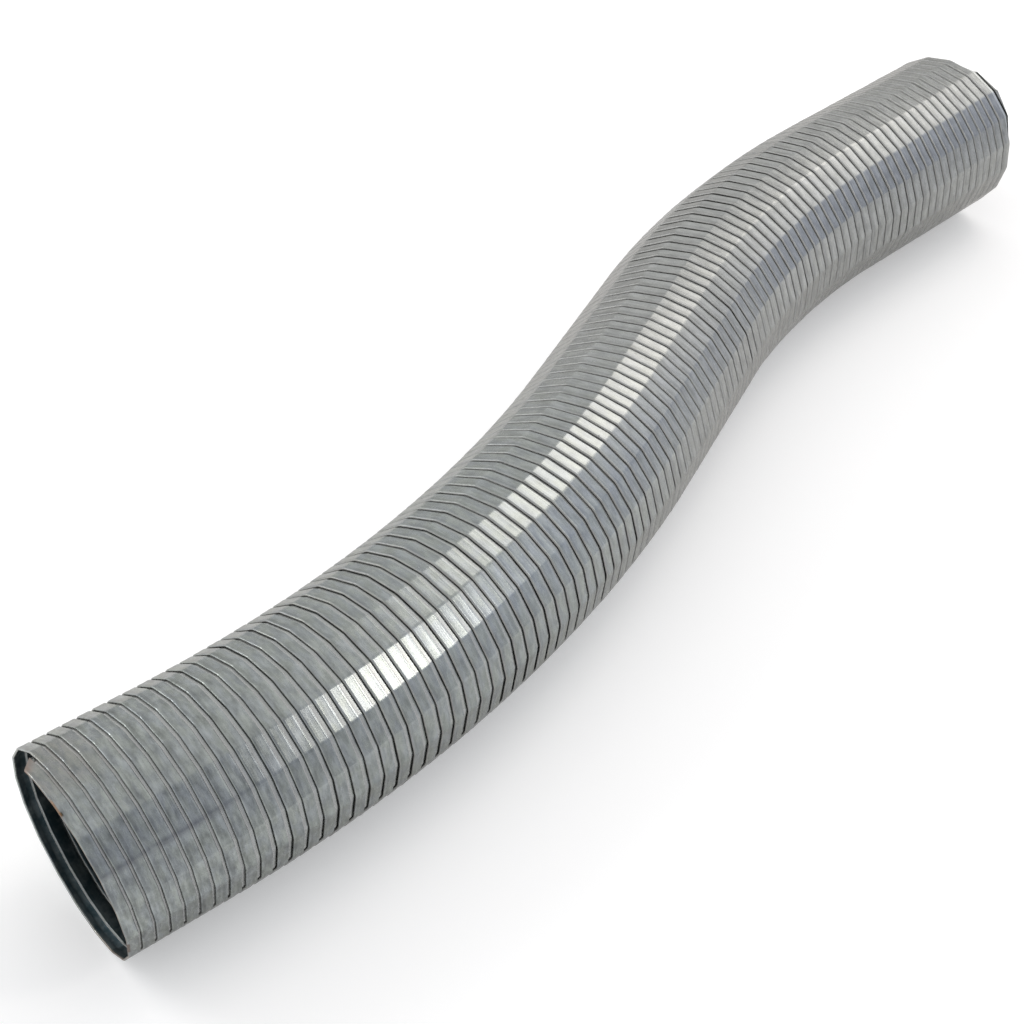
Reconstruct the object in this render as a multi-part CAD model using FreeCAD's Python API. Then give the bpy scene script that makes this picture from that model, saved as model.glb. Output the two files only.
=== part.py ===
import FreeCAD, Part
import math
import os

# Flexible exhaust duct: one long strip of galvanised steel, wound on an eighteen-sided mandrel
# into a tube, with each turn's folded edges hooked into its neighbours. It lies on the floor in
# a shallow S, with both ends open. Millimetres, Z up, the near run heading along X.

vector = FreeCAD.Vector
os.makedirs("parts", exist_ok=True)
doc = FreeCAD.newDocument("flexible_exhaust_duct")

# Driving sizes
sheet = doc.addObject("Spreadsheet::Sheet", "Sizes")
sizes = [
    ("bore_flats", 127.0, "bore, across its flats"),
    ("wall_height", 2.0, "from the bore's flats to the outer lands"),
    ("side_count", 18, "flat facets round the duct"),
    ("corner_drift", -0.18, "degrees that the corners slip back in each turn"),
    ("turn_pitch", 9.844, "mean advance of one turn"),
    ("turn_count", 102.66, "turns of the strip, from its first end to its last"),
    ("turn_shift", 6.8, "how far the drawn and pushed turns lie from even spacing"),
    ("shift_start", 25.5, "degrees into the first wave of drawn and pushed turns"),
    ("land_width", 8.2, "each turn's flat outer land"),
    ("seam_depth", 1.0, "depth of the V between neighbouring lands"),
    ("strip_start", 64.5, "degrees up from the left side, the corner before the strip's first end"),
    ("near_edge_cut", 12.5, "degrees from that corner to the cut, at the strip's near edge"),
    ("far_edge_cut", 3.5, "degrees from that corner to the cut, at the strip's far edge"),
    ("mouth_lean", 2.4, "degrees that the first turn leans out at its top"),
    ("lean_run", 115.0, "length over which the turns lean less and less"),
    ("tongue_length", 5.0, "bare inner edge left beyond the last land"),
    ("tongue_start", 103.0, "degrees up from the left side"),
    ("tongue_end", 168.0, "degrees up from the left side"),
    ("near_run", 79.0, "straight length at the near end"),
    ("first_radius", 890.0, "bend to the left, at the duct's axis"),
    ("first_angle", 26.5, "degrees"),
    ("middle_run", 135.0, "straight length between the bends"),
    ("second_radius", 604.0, "bend to the right, at the duct's axis"),
    ("second_angle", 21.3, "degrees"),
    ("bore_facet_angle", 3.6, "degrees of bend that one flat length of the bore may take"),
]
for row, (name, value, meaning) in enumerate(sizes, start=1):
    sheet.set(f"A{row}", name)
    sheet.set(f"B{row}", str(value))
    sheet.set(f"C{row}", meaning)
    sheet.setAlias(f"B{row}", name)
doc.recompute()

side_count = round(sheet.side_count)
corner_shape = 1 / math.cos(math.pi / side_count)
bore_corner = sheet.bore_flats / 2 * corner_shape
land_corner = (sheet.bore_flats / 2 + sheet.wall_height) * corner_shape
seam_corner = (sheet.bore_flats / 2 + sheet.wall_height - sheet.seam_depth) * corner_shape
fold_angle = (360 + sheet.corner_drift) / side_count
fold_count = round(sheet.turn_count * side_count)
turns = fold_count * fold_angle / 360
same_point = 0.001
spare_turns = 2

# The axis in plan: a straight run, a bend to the left, a straight run and a bend to the right.
# What is left of the duct runs straight on. A bend has its radius, and a straight run has none.
stretches = [
    (sheet.near_run, None),
    (sheet.first_radius * math.radians(sheet.first_angle), sheet.first_radius),
    (sheet.middle_run, None),
    (sheet.second_radius * math.radians(sheet.second_angle), -sheet.second_radius),
]


def axis_at(along):
    """Point of the duct's axis at that length from the near end, its heading and its curvature."""
    point = vector(0, 0, 0)
    heading = 0.0
    curvature = 0.0
    for length, radius in stretches:
        step = min(along, length)
        curvature = 1 / radius if radius else 0.0
        if radius:
            turned = heading + step / radius
            point += vector(
                radius * (math.sin(turned) - math.sin(heading)),
                radius * (math.cos(heading) - math.cos(turned)),
                0,
            )
            heading = turned
        else:
            point += vector(math.cos(heading), math.sin(heading), 0) * step
        along -= step
        if along <= 0:
            return point, heading, curvature
    return point + vector(math.cos(heading), math.sin(heading), 0) * along, heading, 0.0


def wall_point(along, angle, radius, width=0.0):
    """Point at that radius and angle round the axis: 0 degrees is the left side, 90 the top.

    The width is a further step along the wall itself, which bends with the axis. The first turns
    lean: they lie closer together on top of the duct than under it.
    """
    turned = math.radians(angle)
    to_left = radius * math.cos(turned)
    height = radius * math.sin(turned)
    lean = math.radians(sheet.mouth_lean) * max(0, 1 - along / sheet.lean_run)
    curvature = axis_at(along)[2]
    point, heading, _ = axis_at(along + width / (1 - curvature * to_left) - height * math.tan(lean))
    left = vector(-math.sin(heading), math.cos(heading), 0)
    return point + left * to_left + vector(0, 0, height)


def strip_along(turn):
    """Length from the near end to the strip's near edge, so many turns after its start.

    The turns are drawn apart along the bends and pushed together between them, two waves in all.
    """
    start = math.radians(sheet.shift_start)
    wave = start + 4 * math.pi * turn / sheet.turn_count
    return sheet.turn_pitch * turn - sheet.turn_shift * (math.sin(wave) - math.sin(start))


def tongue_at(angle):
    """Length of bare inner edge beyond the last land, at that angle: one rounded tongue."""
    share = (angle % 360 - sheet.tongue_start) / (sheet.tongue_end - sheet.tongue_start)
    return sheet.tongue_length * math.sin(math.pi * share) if 0 < share < 1 else 0.0


def closed_solid(points, triangles):
    """One solid inside a skin of flat triangles that share their edges."""
    skin = Part.Shape()
    skin.makeShapeFromMesh((points, triangles), same_point, True)
    solid = Part.Solid(skin.Shells[0])
    if solid.Volume < 0:
        solid.reverse()
    return solid


def four_sided(a, b, c, d):
    """Two triangles that fill the four-sided facet a, b, c, d."""
    return [(a, b, c), (a, c, d)]


def wound_solid():
    """The wound strip's outside, filled in to the axis.

    Every fold of the strip, where it passes a corner of the mandrel, gives three points: the
    land's near edge, its far edge and the bottom of the seam behind it. The last of a turn's
    seam meets the next turn's land one turn on, and the strip's two cut ends close the skin.
    """
    points = []
    for fold in range(fold_count + 1):
        turn = fold * fold_angle / 360
        angle = sheet.strip_start + fold * fold_angle
        near, far = strip_along(turn), strip_along(turn + 1)
        middle = (near + far) / 2
        points.append(wall_point(middle, angle, land_corner, -sheet.land_width / 2))
        points.append(wall_point(middle, angle, land_corner, sheet.land_width / 2))
        bare = tongue_at(angle) if turn > turns - 1 else 0.0
        points.append(wall_point(far + bare, angle, seam_corner))

    # The strip's first end is cut off at a slant, part of the way along its first facet.
    for edge, cut in enumerate((sheet.near_edge_cut, sheet.far_edge_cut, sheet.far_edge_cut)):
        points[edge] += (points[edge + 3] - points[edge]) * (cut / fold_angle)

    triangles = []
    for fold in range(fold_count):
        near, far, seam = 3 * fold, 3 * fold + 1, 3 * fold + 2
        triangles += four_sided(near, near + 3, far + 3, far)
        triangles += four_sided(far, far + 3, seam + 3, seam)
        behind = near + 3 * side_count
        if behind + 3 < len(points):
            triangles += four_sided(seam, seam + 3, behind + 3, behind)

    near_middle = len(points)
    points.append(axis_at(strip_along(0.5))[0])
    rim = [2, 1] + [3 * fold for fold in range(side_count + 1)] + [2]
    triangles += [(near_middle, b, a) for a, b in zip(rim, rim[1:])]

    far_middle = len(points)
    points.append(axis_at(strip_along(turns + 0.5))[0])
    last = 3 * fold_count
    first_free = fold_count - side_count
    rim = [last + 2, last + 1, last] + [3 * fold + 2 for fold in range(first_free, fold_count + 1)]
    triangles += [(far_middle, a, b) for a, b in zip(rim, rim[1:])]
    return closed_solid(points, triangles)


def bore_solid():
    """The open way through the duct, a little longer than the duct at both ends."""
    near, far = -spare_turns * sheet.turn_pitch, strip_along(turns + spare_turns)
    marks = [near]
    reached = 0.0
    for length, radius in stretches:
        turned = math.degrees(length / radius) if radius else 0.0
        parts = max(1, math.ceil(abs(turned) / sheet.bore_facet_angle))
        marks += [reached + length * part / parts for part in range(parts)]
        reached += length
    marks += [reached]
    marks = [mark for mark in marks if mark < far - sheet.turn_pitch] + [far]

    points = []
    for mark in marks:
        drift = sheet.corner_drift * mark / sheet.turn_pitch
        for side in range(side_count):
            angle = sheet.strip_start + drift + 360 * side / side_count
            points.append(wall_point(mark, angle, bore_corner))

    triangles = []
    for ring in range(len(marks) - 1):
        for side in range(side_count):
            here = ring * side_count + side
            beside = ring * side_count + (side + 1) % side_count
            triangles += four_sided(here, beside, beside + side_count, here + side_count)
    for mark, ring in ((near, 0), (far, len(marks) - 1)):
        middle = len(points)
        points.append(axis_at(mark)[0])
        for side in range(side_count):
            here = ring * side_count + side
            beside = ring * side_count + (side + 1) % side_count
            triangles.append((middle, here, beside) if ring else (middle, beside, here))
    return closed_solid(points, triangles)


winding = doc.addObject("Part::Feature", "winding")
winding.Shape = wound_solid()
bore = doc.addObject("Part::Feature", "bore")
bore.Shape = bore_solid()

# The duct lies on the floor, with the origin at the middle of the floor under it.
outside = winding.Shape.BoundBox
floor_middle = vector(outside.Center.x, outside.Center.y, outside.ZMin)
for item in (winding, bore):
    item.Placement = FreeCAD.Placement(-floor_middle, FreeCAD.Rotation())

duct = doc.addObject("Part::Cut", "duct")
duct.Label = "wound_duct"
duct.Refine = False
duct.Base = winding
duct.Tool = bore
doc.recompute()

for item in doc.Objects:
    if "Invalid" in item.State or "Error" in item.State:
        raise RuntimeError(f"{item.Label} didn't recompute")
    if item is not sheet and (item.Shape.isNull() or not item.Shape.isValid()):
        raise RuntimeError(f"{item.Label} isn't sound")
if len(duct.Shape.Solids) != 1:
    raise RuntimeError(f"{duct.Label} isn't one solid")
duct.Shape.Solids[0].exportStep(f"parts/{duct.Label}.step")

for name, along in (("near", strip_along(0.5)), ("far", strip_along(turns + 0.5))):
    point, heading, _ = axis_at(along)
    place = point - floor_middle
    print(f"{name} end: axis at {place.x:.2f} {place.y:.2f} {place.z:.2f}, {math.degrees(heading):.2f} degrees")
size = duct.Shape.BoundBox
print(f"box {size.XLength:.2f} x {size.YLength:.2f} x {size.ZLength:.2f}")
print(f"length {strip_along(turns + 0.5):.1f}, {fold_count} folds, {len(duct.Shape.Faces)} faces")
print(f"volume {duct.Shape.Volume / 1000:.1f} cubic centimetres")
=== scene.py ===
import math

import bpy
import numpy as np
from mathutils import Euler, Matrix, Vector


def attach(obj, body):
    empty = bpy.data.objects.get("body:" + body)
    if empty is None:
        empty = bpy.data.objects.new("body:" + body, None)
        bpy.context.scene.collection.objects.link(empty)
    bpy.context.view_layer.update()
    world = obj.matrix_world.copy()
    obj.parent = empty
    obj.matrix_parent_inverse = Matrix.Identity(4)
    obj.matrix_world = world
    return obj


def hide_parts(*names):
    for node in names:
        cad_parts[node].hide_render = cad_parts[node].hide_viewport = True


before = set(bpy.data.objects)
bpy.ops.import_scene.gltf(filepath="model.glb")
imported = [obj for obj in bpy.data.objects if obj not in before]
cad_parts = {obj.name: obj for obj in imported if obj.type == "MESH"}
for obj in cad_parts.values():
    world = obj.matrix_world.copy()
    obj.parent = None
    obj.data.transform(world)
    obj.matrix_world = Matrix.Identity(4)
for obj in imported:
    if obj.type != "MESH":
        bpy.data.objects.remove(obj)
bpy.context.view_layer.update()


# The way that the duct lies on the floor. Every turn of a strip-wound duct gives a little, so by
# hand it takes large, even bends and keeps them: here a straight run, a bend to the left, a
# straight run, a bend to the right and a straight end.
NEAR_RUN = 0.079
FIRST_RADIUS = 0.890
FIRST_ANGLE = math.radians(26.5)
MIDDLE_RUN = 0.135
SECOND_RADIUS = 0.604
SECOND_ANGLE = math.radians(21.3)
AXIS_START = Vector((-0.49204, -0.11440, 0.06651))  # from there the axis heads along x

# Each stretch's length and curvature, which is positive to the left
STRETCHES = (
    (NEAR_RUN, 0.0),
    (FIRST_RADIUS * FIRST_ANGLE, 1 / FIRST_RADIUS),
    (MIDDLE_RUN, 0.0),
    (SECOND_RADIUS * SECOND_ANGLE, -1 / SECOND_RADIUS),
    (math.inf, 0.0),
)


def axis_at(along):
    """Place in plan, heading and curvature of the duct's axis, at each length along it."""
    plan_x, plan_y, heading, curvature = (np.zeros_like(along) for _ in range(4))
    start = 0.0
    for length, curve in STRETCHES:
        # The first stretch also runs on backwards, because the mouth leans out past its start
        step = np.clip(along - start, -math.inf if start == 0 else 0, length)
        if curve:
            turned = heading + step * curve
            plan_x += (np.sin(turned) - np.sin(heading)) / curve
            plan_y += (np.cos(heading) - np.cos(turned)) / curve
            heading = turned
            curvature = np.where((step > 0) & (step < length), curve, curvature)
        else:
            plan_x += step * np.cos(heading)
            plan_y += step * np.sin(heading)
        start += length
    return plan_x, plan_y, heading, curvature


# The strip: galvanised steel, 0.4 mm thick, rolled into two opposed hooks and wound with a
# right-hand lead on an eighteen-sided mandrel. Each turn's outer hook lies over the inner hook of
# the turn before it, so that the two slide a little along the duct but can't part.
SIDES = 18
TURN_COUNT = 102.66
TURN_PITCH = 0.009844
BORE_FLATS = 0.127
WALL_HEIGHT = 0.0020
CORNER_DRIFT = math.radians(-0.18)  # how far the corners slip back in each turn
CORNER_BEND = math.radians(1.1)  # to each side of a corner

# The turns are drawn apart along the bends and pushed together between them, and the first turns
# lean out at the top, so that they lie closer together under the duct than on top of it
TURN_SHIFT = 0.0068  # how far those turns lie from even spacing
SHIFT_START = math.radians(25.5)  # into the first wave of drawn and pushed turns
MOUTH_LEAN = math.radians(2.4)
LEAN_RUN = 0.115  # length over which they lean less and less

# The strip starts at a corner that is measured up from the duct's left side, and its cut is
# measured on from there. The tongue of bare edge at its other end is measured up from the left.
STRIP_START = math.radians(64.5)
NEAR_EDGE_CUT = math.radians(12.5)
FAR_EDGE_CUT = math.radians(3.5)
CUT_RING = math.radians(1.4)  # from the cut to the next ring of points
TRIMMED_EDGE = 0.0003  # what is left beyond the web, beside the tongue
TONGUE_LENGTH = 0.0077
TONGUE_START = math.radians(92)
TONGUE_END = math.radians(166)

fold_angle = (2 * math.pi + CORNER_DRIFT) / SIDES
fold_count = round(TURN_COUNT * SIDES)
turns = fold_count * fold_angle / (2 * math.pi)
strip_radius = BORE_FLATS / 2 + WALL_HEIGHT


def strip_along(turn):
    """Length along the axis to the near edge of the strip, so many turns after its start."""
    wave = SHIFT_START + 4 * math.pi * turn / TURN_COUNT
    return TURN_PITCH * turn - TURN_SHIFT * (np.sin(wave) - math.sin(SHIFT_START))


def bend(across, height, radius, degrees):
    """Points of the section along one bend of the steel, at those angles round its centre."""
    return [
        (across + radius * math.cos(math.radians(way)), height + radius * math.sin(math.radians(way)))
        for way in degrees
    ]


# The strip's section, across it from the land's middle and up from the bore. Four thicknesses of
# steel, with play between them, make the wall.
STEEL = 0.0004
HALF_LAND = 0.00415  # out to the fold's outermost place
LIP_WIDTH = 0.0030  # the flat part of each hook
INNER_EDGE = 0.01205  # out to the inner hook's outermost place
FAR_EDGE = 0.00325  # the land's far edge, behind which the gap opens
WEB_SLANT = 0.00015  # how far the web leans out on its way down
WEB_FOOT = 0.00440  # where the bore side of the inner land ends
WEB_FOOT_ROUND = (0.00035, 0.00012)
SHOULDER_THICKNESS = 0.00030  # of the web at its top

# The outer fold's nose, in from the fold's outermost place and up, and the slightly dished land
NOSE = ((0.00020, 0.00080), (0, 0.00120), (0.00008, 0.00158), (0.00032, 0.00184), (0.00075, 0.00197))
LAND = ((-0.00260, WALL_HEIGHT), (-0.00040, 0.00191), (0.00265, 0.00198), (FAR_EDGE, 0.00195))

play = (WALL_HEIGHT - 4 * STEEL) / 3
lip_floor = STEEL + play
hook_outside = (WALL_HEIGHT - lip_floor) / 2
hook_inside = hook_outside - STEEL
outer_hook = (hook_outside - HALF_LAND, lip_floor + hook_outside)
inner_hook = (INNER_EDGE - hook_outside, hook_outside)
outer_lip_end = outer_hook[0] + LIP_WIDTH
inner_lip_end = inner_hook[0] - LIP_WIDTH
SECTION = [
    # from the outer hook's lip, over its nose and the land, and down the web
    (outer_lip_end, lip_floor),
    (outer_hook[0], lip_floor),
    *[(-HALF_LAND + inward, up) for inward, up in NOSE],
    *LAND,
    (FAR_EDGE + WEB_SLANT, STEEL),
    # along the inner land, round the inside of the inner hook and back over its outside
    *bend(*inner_hook, hook_inside, (-90, 90)),
    (inner_lip_end, lip_floor + STEEL + play),
    (inner_lip_end, 2 * hook_outside),
    *bend(*inner_hook, hook_outside, (90, 0, -90)),
    # along the bore, up the web's bore side, whose foot stands 0.4 mm out through its gap side,
    # and round the inside of the outer hook
    (WEB_FOOT, 0.0),
    (WEB_FOOT - WEB_FOOT_ROUND[0], WEB_FOOT_ROUND[1]),
    (FAR_EDGE - SHOULDER_THICKNESS, WALL_HEIGHT - STEEL),
    *bend(*outer_hook, hook_inside, (90, 270)),
    (outer_lip_end, lip_floor + STEEL),
]
SECTION.append(SECTION[0])

# Which points of the section the finish is measured from, counted from 0: the land's first and
# last, and the two ends of the side that faces the bore
LAND_START = 7
LAND_END = 10
BORE_SIDE_START = 18
BORE_SIDE_END = 19

# One flat grid makes the whole strip. It has the section's points across it, and two rings of
# them for every fold, one on each side of the mandrel's corner.
rings = 2 * (fold_count + 1)
bpy.ops.object.select_all(action="DESELECT")
bpy.ops.mesh.primitive_grid_add(x_subdivisions=rings - 1, y_subdivisions=len(SECTION) - 1, size=1)
strip = bpy.context.object
strip.name = strip.data.name = "wound_strip"
grid = np.empty(len(strip.data.vertices) * 3)
strip.data.vertices.foreach_get("co", grid)
grid = grid.reshape(-1, 3)
ring = np.rint((grid[:, 0] + 0.5) * (rings - 1)).astype(int)
point = np.rint((grid[:, 1] + 0.5) * (len(SECTION) - 1)).astype(int)
fold = ring // 2

# No turn lies quite like the next: its corners, its place along the duct, its height and the
# tilt of its land wander a little from fold to fold.
CORNER_SLIP = math.radians(0.16)
SLOW_SLIP = 0.00010
FOLD_SLIP = 0.00006
TURN_LIFT = 0.00005
LAND_TILT = math.radians(0.45)
chance = np.random.default_rng(11)


def wander(amount, folds):
    """A smooth chance deviation along the strip, with a new value after so many folds."""
    marks = chance.normal(0, amount, fold_count // folds + 3)
    return np.interp(np.arange(fold_count + 1) / folds, np.arange(len(marks)), marks)[fold]


corner_slip = wander(CORNER_SLIP, folds=1)
turn_slip = wander(SLOW_SLIP, folds=6) + wander(FOLD_SLIP, folds=1)
turn_lift = wander(TURN_LIFT, folds=9)
land_tilt = wander(LAND_TILT, folds=2)

outline = np.array(SECTION)
offset, height = outline[point].T
side_of_corner = np.where(ring % 2 == 0, -1, 1)
angle = STRIP_START + fold * fold_angle + corner_slip + side_of_corner * CORNER_BEND
facet_middle = STRIP_START + (fold - 0.5 + ring % 2) * fold_angle

# The first end is cut at a slant across its first facet, and on the last turn the inner hook is
# cut away close behind the land, apart from one rounded tongue.
slant = np.interp(offset, (-HALF_LAND, HALF_LAND), (NEAR_EDGE_CUT, FAR_EDGE_CUT))
cut_angle = STRIP_START + slant + np.where(ring == 1, CUT_RING, 0)
angle = np.where(fold == 0, cut_angle, angle)
facet_middle = np.where(fold == 0, STRIP_START + 0.5 * fold_angle, facet_middle)
turn = (angle - STRIP_START) / (2 * math.pi)
share = (angle % (2 * math.pi) - TONGUE_START) / (TONGUE_END - TONGUE_START)
tongue = np.where((share > 0) & (share < 1), TONGUE_LENGTH * np.sin(math.pi * share), 0)
bare_edge = FAR_EDGE + WEB_SLANT + TRIMMED_EDGE + tongue
trimmed = (turn > turns - 1) & (offset > bare_edge)
offset = np.where(trimmed, bare_edge, offset)
height = np.where(trimmed, np.minimum(height, STEEL), height)

# Every point is carried round the mandrel's flats and along the bent axis
land_middle = (strip_along(turn) + strip_along(turn + 1)) / 2 + turn_slip
height = height + turn_lift + offset * np.tan(land_tilt)
radius = (BORE_FLATS / 2 + height) / np.cos(angle - facet_middle)
left = radius * np.cos(angle)
up = radius * np.sin(angle)
lean = MOUTH_LEAN * np.clip(1 - land_middle / LEAN_RUN, 0, 1)
curvature = axis_at(land_middle)[3]
along = land_middle + offset / (1 - curvature * left) - up * np.tan(lean)
plan_x, plan_y, heading, _ = axis_at(along)
wound = np.stack([plan_x - np.sin(heading) * left, plan_y + np.cos(heading) * left, up], axis=1)
strip.data.vertices.foreach_set("co", wound.ravel())
strip.data.transform(Matrix.Translation(AXIS_START))

# The strip's own map: metres along the strip, and metres round its section, from the land's middle
steps = np.hypot(*np.diff(outline, axis=0).T)
round_section = np.concatenate([[0], np.cumsum(steps)])
round_section += outline[LAND_START, 0] - round_section[LAND_START]
corner = np.empty(len(strip.data.loops), dtype=int)
strip.data.loops.foreach_get("vertex_index", corner)
strip_map = np.stack([(angle - STRIP_START) * strip_radius, round_section[point]], axis=1)
strip.data.uv_layers[0].name = "strip"
strip.data.uv_layers["strip"].data.foreach_set("uv", strip_map[corner].ravel())

# The section's two edges are merged along the strip, its cut ends are closed, and its bends are
# shaded smooth beside flat lands
SAME_POINT = 0.000005
SHARPEST_SMOOTH_BEND = math.radians(62)
bpy.ops.object.mode_set(mode="EDIT")
bpy.ops.mesh.select_all(action="SELECT")
bpy.ops.mesh.remove_doubles(threshold=SAME_POINT)
bpy.ops.mesh.select_mode(type="EDGE")
bpy.ops.mesh.select_all(action="DESELECT")
bpy.ops.mesh.select_non_manifold(
    extend=False, use_wire=False, use_multi_face=False, use_non_contiguous=False, use_verts=False
)
bpy.ops.mesh.fill_holes(sides=0)
bpy.ops.mesh.select_all(action="SELECT")
bpy.ops.mesh.normals_make_consistent(inside=False)
bpy.ops.object.mode_set(mode="OBJECT")
bpy.ops.object.shade_smooth_by_angle(angle=SHARPEST_SMOOTH_BEND)
flat_lands = strip.modifiers.new("flat_lands", "WEIGHTED_NORMAL")
flat_lands.keep_sharp = True
bpy.ops.object.modifier_apply(modifier=flat_lands.name)
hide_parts("wound_duct")
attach(strip, "root")


# The strip's finish: hot-dip zinc, dulled to a cloudy grey with green and blue in it. The rolls
# have left faint lines along the strip, and dirt and painted shade lie beside the seams. Painted
# shade darkens the bore side and the lower right facets, and painted light lies on the mouth's rim
# and on the far end's tongue. The sheared first end and the mouth's edge have lost their zinc and
# carry a thin brown rust.


class Shade:
    """One value or colour of a material. Sums and products of values add their own Math nodes."""

    def __init__(self, tree, socket=None):
        self.tree = tree
        self.socket = socket

    def node(self, kind, settings, inputs, output=0):
        """Any other node: its type, its settings, and the values or links of its sockets."""
        made = self.tree.nodes.new(kind)
        for name, value in settings.items():
            setattr(made, name, value)
        for name, value in inputs.items():
            if isinstance(value, Shade):
                self.tree.links.new(value.socket, made.inputs[name])
            else:
                made.inputs[name].default_value = value
        return Shade(self.tree, made.outputs[output])

    def feed(self, shader, name):
        """This, linked to the input of that name."""
        self.tree.links.new(self.socket, shader.inputs[name])

    def math(self, operation, *values):
        """One Math node, on values or numbers."""
        return self.node("ShaderNodeMath", {"operation": operation}, dict(enumerate(values)))

    def __add__(self, other):
        return self.math("ADD", self, other)

    def __sub__(self, other):
        return self.math("SUBTRACT", self, other)

    def __rsub__(self, other):
        return self.math("SUBTRACT", other, self)

    def __mul__(self, other):
        return self.math("MULTIPLY", self, other)

    def __truediv__(self, other):
        return self.math("DIVIDE", self, other)

    __radd__ = __add__
    __rmul__ = __mul__

    def larger(self, other):
        """The larger of two values, where two marks lie over each other."""
        return self.math("MAXIMUM", self, other)

    def rise(self, low, high):
        """0 below the low value, 1 above the high one, and a soft step between them."""
        inputs = {"Value": self, "From Min": low, "From Max": high}
        return self.node("ShaderNodeMapRange", {"interpolation_type": "SMOOTHSTEP"}, inputs)

    def band(self, low, high, soft):
        """1 from the low value to the high one, fading out over the soft length beyond both."""
        return self.rise(low - soft, low) * (1 - self.rise(high, high + soft))

    def noise(self, detail, roughness):
        """Cloudy noise from 0 to 1, with this vector as its place."""
        inputs = {"Vector": self, "Scale": 1.0, "Detail": detail, "Roughness": roughness}
        return self.node("ShaderNodeTexNoise", {}, inputs)

    def place(self, *parts):
        """A vector of three values."""
        return self.node("ShaderNodeCombineXYZ", {}, dict(enumerate(parts)))

    def mix(self, factor, other):
        """This colour, with the other one laid over it."""
        inputs = {0: factor, 6: self, 7: other}
        return self.node("ShaderNodeMix", {"data_type": "RGBA"}, inputs, output=2)

    def scaled(self, factor):
        """This colour, lighter or darker."""
        return self.node("ShaderNodeVectorMath", {"operation": "SCALE"}, {0: self, "Scale": factor})


# The strip's map gives every mark its place. Run is metres along the strip, of which a turn takes
# 0.41, facet counts each turn's flats from the corner that the strip starts at, and across is
# metres round the section. There the fold's lip meets its nose at -0.0056, the nose is outermost
# at -0.0046, and the land goes from -0.0034 to 0.0033.
turn_length = SIDES * fold_angle * strip_radius
zinc = bpy.data.materials.new("galvanised_steel")
zinc.use_nodes = True
zinc_shader = zinc.node_tree.nodes["Principled BSDF"]
on_strip = Shade(zinc.node_tree)
strip_place = on_strip.node("ShaderNodeUVMap", {"uv_map": "strip"}, {})
run = on_strip.node("ShaderNodeSeparateXYZ", {}, {"Vector": strip_place}, output=0)
across = on_strip.node("ShaderNodeSeparateXYZ", {}, {"Vector": strip_place}, output=1)
facet = on_strip.math("FRACT", run / turn_length) * SIDES
into_gap = across - float(round_section[LAND_END])


def pattern(length, width, layer):
    """Places in a pattern with marks of about that length and width, another for each layer."""
    return on_strip.place(run / length, across / width, layer)


CLOUD_LENGTH = 0.011
CLOUD_WIDTH = 0.0048
TINT_LENGTH = 0.014
TINT_WIDTH = 0.007
SPANGLE = 0.0011
ROLL_LENGTH = 0.4
ROLL_LINE = 0.0012
SPOT_SPACING = 0.030
BORE_CLOUD = 0.010
clouds = pattern(CLOUD_LENGTH, CLOUD_WIDTH, layer=0.0).noise(detail=4.0, roughness=0.62)
tint = pattern(TINT_LENGTH, TINT_WIDTH, layer=7.0).noise(detail=2.0, roughness=0.55)
spangle = pattern(SPANGLE, SPANGLE, layer=3.0).noise(detail=2.0, roughness=0.6)
rolled = pattern(ROLL_LENGTH, ROLL_LINE, layer=5.0).noise(detail=2.0, roughness=0.6)
spot_inputs = {"Vector": pattern(SPOT_SPACING, SPOT_SPACING, layer=2.0), "Scale": 1.0}
spot = on_strip.node("ShaderNodeTexVoronoi", {}, spot_inputs)
spots = (1 - spot.rise(0.012, 0.030)) * tint.rise(0.45, 0.60)
bore_clouds = pattern(BORE_CLOUD, BORE_CLOUD, layer=11.0).noise(detail=4.0, roughness=0.6)

# The first turn's fold is the mouth's edge, and the last turn's bare edge the far end's
after_first_turn = run.rise(0.40, 0.42)
last_turn_start = (turns - 1) * turn_length
on_last_turn = run.rise(last_turn_start, last_turn_start + 0.01)
near_mouth = 1 - run.rise(2.0, 9.0)

# The seams are pale with dust on the far half, nearer the mouth too from the top round the left
# side, and a little less so on the left side all along
far_seam = run.rise(17.0, 20.5)
upper_left_seam = run.rise(9.5, 13.0) * (1 - facet.band(2.2, 12.0, 0.3))
left_seam = 0.7 * facet.band(14.0, 17.0, 1.0)
pale_seam = far_seam.larger(upper_left_seam).larger(left_seam)

# Painted shade in a band behind the fold, dirt and painted shade at its foot, and tarnish and dust on
# the fold and under it
shade_behind_fold = across.band(-0.0029, -0.0016, 0.0005)
foot_dirt_and_shade = across.band(-0.0060, -0.0047, 0.0004) * after_first_turn * (1 - 0.8 * pale_seam)
fold_tarnish = across.band(-0.0048, -0.0038, 0.0005) * run.rise(4.0, 9.0) * (1 - 0.6 * pale_seam)
fold_dust = across.band(-0.0047, -0.0041, 0.0003) * run.rise(6.0, 11.0) * 0.5
under_fold = (1 - across.rise(-0.0046, -0.0041)) * after_first_turn
under_fold = under_fold * (0.35 + 0.65 * run.rise(5.0, 11.0))

# The gap behind the land: dust in its corner and on its floor, and at the far end painted shade at
# the bare tongue's foot and painted light on its face
corner_dust = into_gap.band(0.0013, 0.0025, 0.0003)
floor_dust = corner_dust.larger(0.5 * into_gap.band(0.0013, 0.0040, 0.0005))
# Painted shade at the far tongue's foot, and painted light on its face
tongue_foot_shade = into_gap.band(0.0010, 0.0019, 0.0004) * on_last_turn
tongue_face_light = into_gap.band(0.0025, 0.0100, 0.0004) * on_last_turn

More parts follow.
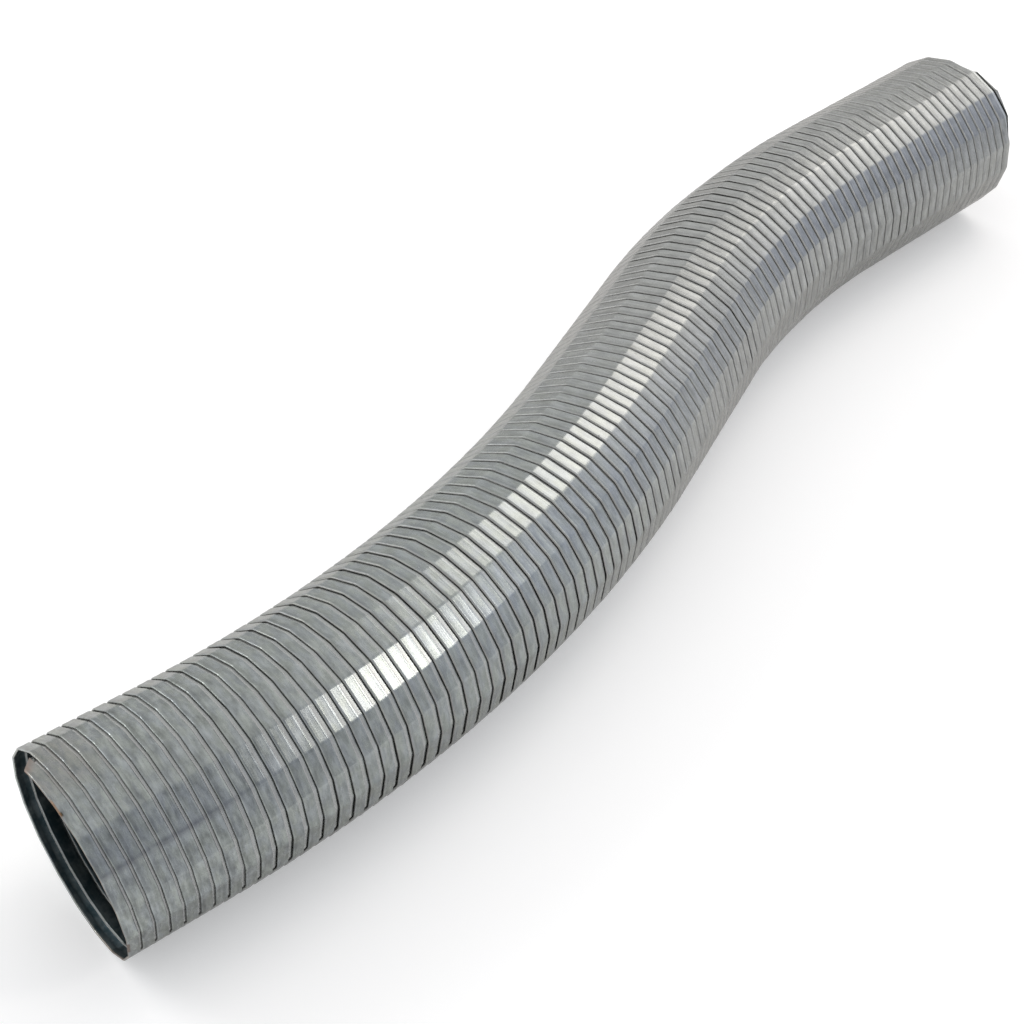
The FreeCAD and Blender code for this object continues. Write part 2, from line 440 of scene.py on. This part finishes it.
# Painted shade on the side that faces the bore and on the inside of the mouth's fold, mostly left off
# the bright round foot of the first turn's web
bore_side_start = float(round_section[BORE_SIDE_START])
bore_side_end = float(round_section[BORE_SIDE_END])
shaded_bore_side = across.rise(bore_side_start - 0.0004, bore_side_start)
shaded_bore_side = shaded_bore_side + (1 - across.rise(-0.0064, -0.0058)) * (1 - after_first_turn)
bright_edge = across.band(bore_side_end - 0.0001, bore_side_end + 0.0006, 0.0002)
bright_edge = bright_edge * (1 - run.rise(0.41, 0.43))
shaded_bore_side = shaded_bore_side * (1 - 0.85 * bright_edge)

# How light the zinc is, from its patterns and its place. It is a little darker near the mouth, with a
# painted highlight on the mouth's rim, painted light on the far tongue's face, and painted shade on
# the lower right facets, behind the fold and at the fold's foot
lower_right_shade = facet.band(4.6, 9.0, 0.4) * (1 - run.rise(10.0, 15.0) + run.rise(28.0, 34.0))
# A painted highlight on the first turn's fold, past its rust
rim_highlight = across.band(-0.0058, -0.0039, 0.0004) * run.band(0.27, 0.40, 0.03)
lightness = 1.07 - 0.05 * near_mouth + (1.0 + 0.7 * near_mouth) * (clouds - 0.5)
lightness = lightness + 0.22 * (spangle - 0.5) + 0.16 * (rolled - 0.5)
# A painted highlight on the mouth's rim, painted light on the far tongue's face, and painted shade on
# the lower right facets
lightness = lightness + 0.35 * rim_highlight + 0.7 * tongue_face_light - 0.13 * lower_right_shade
# Painted shade behind the fold, dirt and painted shade at its foot, and the dark spots
lightness = lightness * (1 - 0.10 * shade_behind_fold) * (1 - 0.25 * foot_dirt_and_shade) * (1 - 0.5 * spots)

GREY_GREEN = (0.304, 0.327, 0.312, 1)
GREY_BLUE = (0.294, 0.317, 0.322, 1)
PLAIN_GREY = (0.326, 0.329, 0.323, 1)
FOOT_DIRT_AND_SHADE = (0.13, 0.115, 0.10, 1)
TARNISH = (0.34, 0.27, 0.23, 1)
BROWN_DUST = (0.34, 0.33, 0.31, 1)
PALE_DUST = (0.58, 0.58, 0.56, 1)
GREY_DUST = (0.50, 0.50, 0.49, 1)
GAP_SHADE = (0.05, 0.055, 0.055, 1)
BORE_SHADE = (0.030, 0.048, 0.056, 1)
zinc_inputs = {0: tint.rise(0.38, 0.62), 6: GREY_GREEN, 7: GREY_BLUE}
colour = on_strip.node("ShaderNodeMix", {"data_type": "RGBA"}, zinc_inputs, output=2)
colour = colour.mix(run.rise(10.0, 24.0) * 0.7, PLAIN_GREY).scaled(lightness)
# Dirt and painted shade at the foot of each turn's fold
colour = colour.mix(foot_dirt_and_shade * 0.5, FOOT_DIRT_AND_SHADE)
colour = colour.mix(fold_tarnish * 0.20, TARNISH)
colour = colour.mix(under_fold * 0.7, BROWN_DUST)
colour = colour.mix(under_fold * pale_seam * 0.9, PALE_DUST)
colour = colour.mix(floor_dust * (1 - tongue_face_light) * 0.9, GREY_DUST)
colour = colour.mix(fold_dust, GREY_DUST)
# Painted shade at the foot of the far tongue
colour = colour.mix(tongue_foot_shade * 0.7, GAP_SHADE)
# Painted shade on the bore side and inside the mouth's fold, mottled
colour = colour.mix(shaded_bore_side * (1.35 - 0.9 * bore_clouds), BORE_SHADE)

# The marks at the mouth: a dark line along one corner, a brown film on top of the first turns,
# rust on the mouth's edge, a stain along the strip's cut end, and a burr, a rust spot and a notch
# on the first turn's fold
CUT_SLOPE = 1.25
CUT_PLACE = 0.0092
corner_line = facet.band(4.03, 4.05, 0.15) * (1 - run.rise(2.6, 4.6)) * (0.35 + 0.9 * (tint - 0.2))
brown_film = facet.band(0.2, 1.4, 0.8) * (1 - run.rise(0.9, 1.8)) * (1.3 * (clouds - 0.33))
mouth_rust = across.band(-0.0056, -0.0042, 0.0004) * (1 - run.rise(0.20, 0.26))
mouth_rust = mouth_rust * (0.35 + 0.9 * (clouds - 0.4))
from_cut = run + across * CUT_SLOPE - CUT_PLACE
stain = (1 - from_cut.rise(0.001, 0.010)) * (1 - run.rise(0.02, 0.03))
burr = run.band(0.0516, 0.0526, 0.0012) * across.band(-0.0036, -0.0028, 0.0006)
rust_spot = run.band(0.044, 0.051, 0.004) * across.band(-0.0056, -0.0034, 0.0005)
notch = run.band(0.143, 0.152, 0.002) * across.band(-0.0056, -0.0030, 0.0006)

CORNER_GREY = (0.12, 0.12, 0.14, 1)
FILM_BROWN = (0.24, 0.205, 0.175, 1)
RUST_BROWN = (0.20, 0.115, 0.07, 1)
STAIN_BROWN = (0.26, 0.185, 0.155, 1)
BURR_DARK = (0.05, 0.045, 0.03, 1)
RUST_ORANGE = (0.30, 0.15, 0.06, 1)
NOTCH_BROWN = (0.10, 0.055, 0.035, 1)
colour = colour.mix(corner_line * 0.6, CORNER_GREY)
colour = colour.mix(brown_film, FILM_BROWN)
colour = colour.mix(mouth_rust, RUST_BROWN)
colour = colour.mix(stain * (0.5 + 0.8 * (clouds - 0.4)), STAIN_BROWN)
colour = colour.mix(burr * 0.9, BURR_DARK)
colour = colour.mix(rust_spot * 0.6, RUST_ORANGE)
colour = colour.mix(notch * 0.7, NOTCH_BROWN)
colour.feed(zinc_shader, "Base Color")

# The bore side, the stain and the fold's nose are rougher, and less metal shows under the dust
GLANCING_GREY = (0.74, 0.72, 0.70, 1)
nose = across.band(-0.0050, -0.0032, 0.0003) * run.rise(5.0, 9.0)
roughness = 0.27 + 0.12 * (clouds - 0.5) + 0.2 * shaded_bore_side + 0.2 * stain + 0.22 * nose
roughness.feed(zinc_shader, "Roughness")
thick_dust = (under_fold * (0.55 + 0.4 * pale_seam)).larger((floor_dust * 0.9).larger(fold_dust))
metal = 1 - thick_dust
metal.feed(zinc_shader, "Metallic")
zinc_shader.inputs["Specular Tint"].default_value = GLANCING_GREY

# The relief of the land, in millimetres: the rolled lines, and one low ridge near its far edge
ridge = across.band(0.0022, 0.0023, 0.0003) * 0.008
flat_land = across.band(-0.0030, 0.0024, 0.0004)
relief = (ridge + 0.030 * rolled) * flat_land
bump_inputs = {"Strength": 1.0, "Distance": 0.001, "Height": relief}
bump = on_strip.node("ShaderNodeBump", {}, bump_inputs)
bump.feed(zinc_shader, "Normal")
strip.data.materials.clear()
strip.data.materials.append(zinc)


# The floor: one plain sheet under the duct, painted dead matt white. It gives off a little light
# of its own that only the camera and mirrored rays see, so that it is as white in the duct's
# metal as it is beside it.
FLOOR_SIZE = 12
FLOOR_WHITE = 0.87
FLOOR_LIFT = 0.22
bpy.ops.object.select_all(action="DESELECT")
bpy.ops.mesh.primitive_plane_add(size=FLOOR_SIZE, location=(0, 0, 0))
floor = bpy.context.object
floor.name = "floor"
paint = bpy.data.materials.new("floor_white")
paint.use_nodes = True
paint_shader = paint.node_tree.nodes["Principled BSDF"]
paint_shader.inputs["Base Color"].default_value = (FLOOR_WHITE, FLOOR_WHITE, FLOOR_WHITE, 1)
paint_shader.inputs["Roughness"].default_value = 1.0
paint_shader.inputs["Specular IOR Level"].default_value = 0.0
paint_shader.inputs["Emission Strength"].default_value = 1.0
on_floor = Shade(paint.node_tree)
camera_ray = on_floor.node("ShaderNodeLightPath", {}, {}, output="Is Camera Ray")
mirrored_ray = on_floor.node("ShaderNodeLightPath", {}, {}, output="Is Glossy Ray")
passed_ray = on_floor.node("ShaderNodeLightPath", {}, {}, output="Is Transmission Ray")
lift = on_floor.math("MINIMUM", camera_ray + mirrored_ray + passed_ray, 1.0) * FLOOR_LIFT
on_floor.place(lift, lift, lift).feed(paint_shader, "Emission Color")
floor.data.materials.append(paint)


# The light: an even white sky all round, with a dim patch and a cool patch that the zinc mirrors
# but the camera doesn't see, and six flat lamps. The key makes the long narrow highlight, and the
# others fill the flats round it.
SKY = 0.87
SKY_WHITE = (1, 1, 1, 1)
DIM_GREY = (0.60, 0.62, 0.68, 1)
COOL_WHITE = (0.84, 0.885, 1.03, 1)
LAMP_DISTANCE = 2.5


def way_to(azimuth, elevation):
    """The direction from the duct to that azimuth and elevation, both in degrees."""
    level = math.cos(math.radians(elevation))
    return Vector((
        level * math.cos(math.radians(azimuth)),
        level * math.sin(math.radians(azimuth)),
        math.sin(math.radians(elevation)),
    ))


world = bpy.data.worlds.new("studio")
world.use_nodes = True
background = world.node_tree.nodes["Background"]
on_sky = Shade(world.node_tree)
seen = on_sky.node("ShaderNodeLightPath", {}, {}, output="Is Camera Ray")
looking = on_sky.node("ShaderNodeTexCoord", {}, {})


def patch(azimuth, elevation, edge, core):
    """1 in the core of a round patch of the sky and 0 past its edge, which are in degrees."""
    inputs = {0: looking, 1: way_to(azimuth, elevation)}
    toward = on_sky.node("ShaderNodeVectorMath", {"operation": "DOT_PRODUCT"}, inputs, output=1)
    return toward.rise(math.cos(math.radians(edge)), math.cos(math.radians(core))) * (1 - seen)


dim_patch = patch(azimuth=-75, elevation=28, edge=48, core=12)
cool_patch = patch(azimuth=-29, elevation=19, edge=30, core=10)
dim_inputs = {0: dim_patch, 6: SKY_WHITE, 7: DIM_GREY}
sky = on_sky.node("ShaderNodeMix", {"data_type": "RGBA"}, dim_inputs, output=2)
sky = sky.mix(cool_patch, COOL_WHITE)
sky.feed(background, "Color")
strength = SKY + (1 - SKY) * seen
strength.feed(background, "Strength")
bpy.context.scene.world = world


def lamp(name, azimuth, elevation, size, radiance, colour):
    """A flat lamp of that size, which faces the duct and isn't seen. Its place is in degrees."""
    way = way_to(azimuth, elevation)
    data = bpy.data.lights.new(name, "AREA")
    data.shape = "RECTANGLE"
    data.size, data.size_y = size
    data.color = colour
    data.energy = radiance * math.pi * size[0] * size[1]
    light = bpy.data.objects.new(name, data)
    light.location = way * LAMP_DISTANCE
    light.rotation_euler = way.to_track_quat("Z", "Y").to_euler()
    light.visible_camera = False
    bpy.context.scene.collection.objects.link(light)


lamp("key", -56, 38, (0.31, 0.70), 9.2, (1.0, 0.94, 0.86))
lamp("key_glow", -46, 38, (0.9, 0.7), 0.3, (1.0, 0.97, 0.93))
lamp("second", 11, 50, (0.90, 1.1), 2.1, (1.0, 0.935, 0.88))
lamp("third", -8, 39, (0.7, 0.9), 0.85, (1.0, 0.955, 0.92))
lamp("side", 54, 27, (1.3, 0.9), 0.22, (1.0, 1.0, 1.0))
lamp("rim", 128, 32, (1.2, 1.0), 3.6, (1.0, 1.0, 1.0))


# The camera: it stands before the duct's near end, on the right of it, and looks down at it on a
# slant. Its focal length is in points of the picture, and its angles are in degrees.
FOCAL_LENGTH = 1907.9
PICTURE_WIDTH = 1024
SENSOR_WIDTH = 36
CAMERA_PLACE = (-0.7065, -0.7881, 0.9096)
LOOK_DOWN = 41.515
HEADING = 51.62
camera_data = bpy.data.cameras.new("camera")
camera_data.sensor_width = SENSOR_WIDTH
camera_data.lens = FOCAL_LENGTH / PICTURE_WIDTH * SENSOR_WIDTH
camera = bpy.data.objects.new("camera", camera_data)
camera.location = CAMERA_PLACE
camera.rotation_euler = Euler((math.radians(90 - LOOK_DOWN), 0, math.radians(HEADING - 90)))
bpy.context.scene.collection.objects.link(camera)
bpy.context.scene.camera = camera
bpy.context.scene.view_settings.view_transform = "Standard"
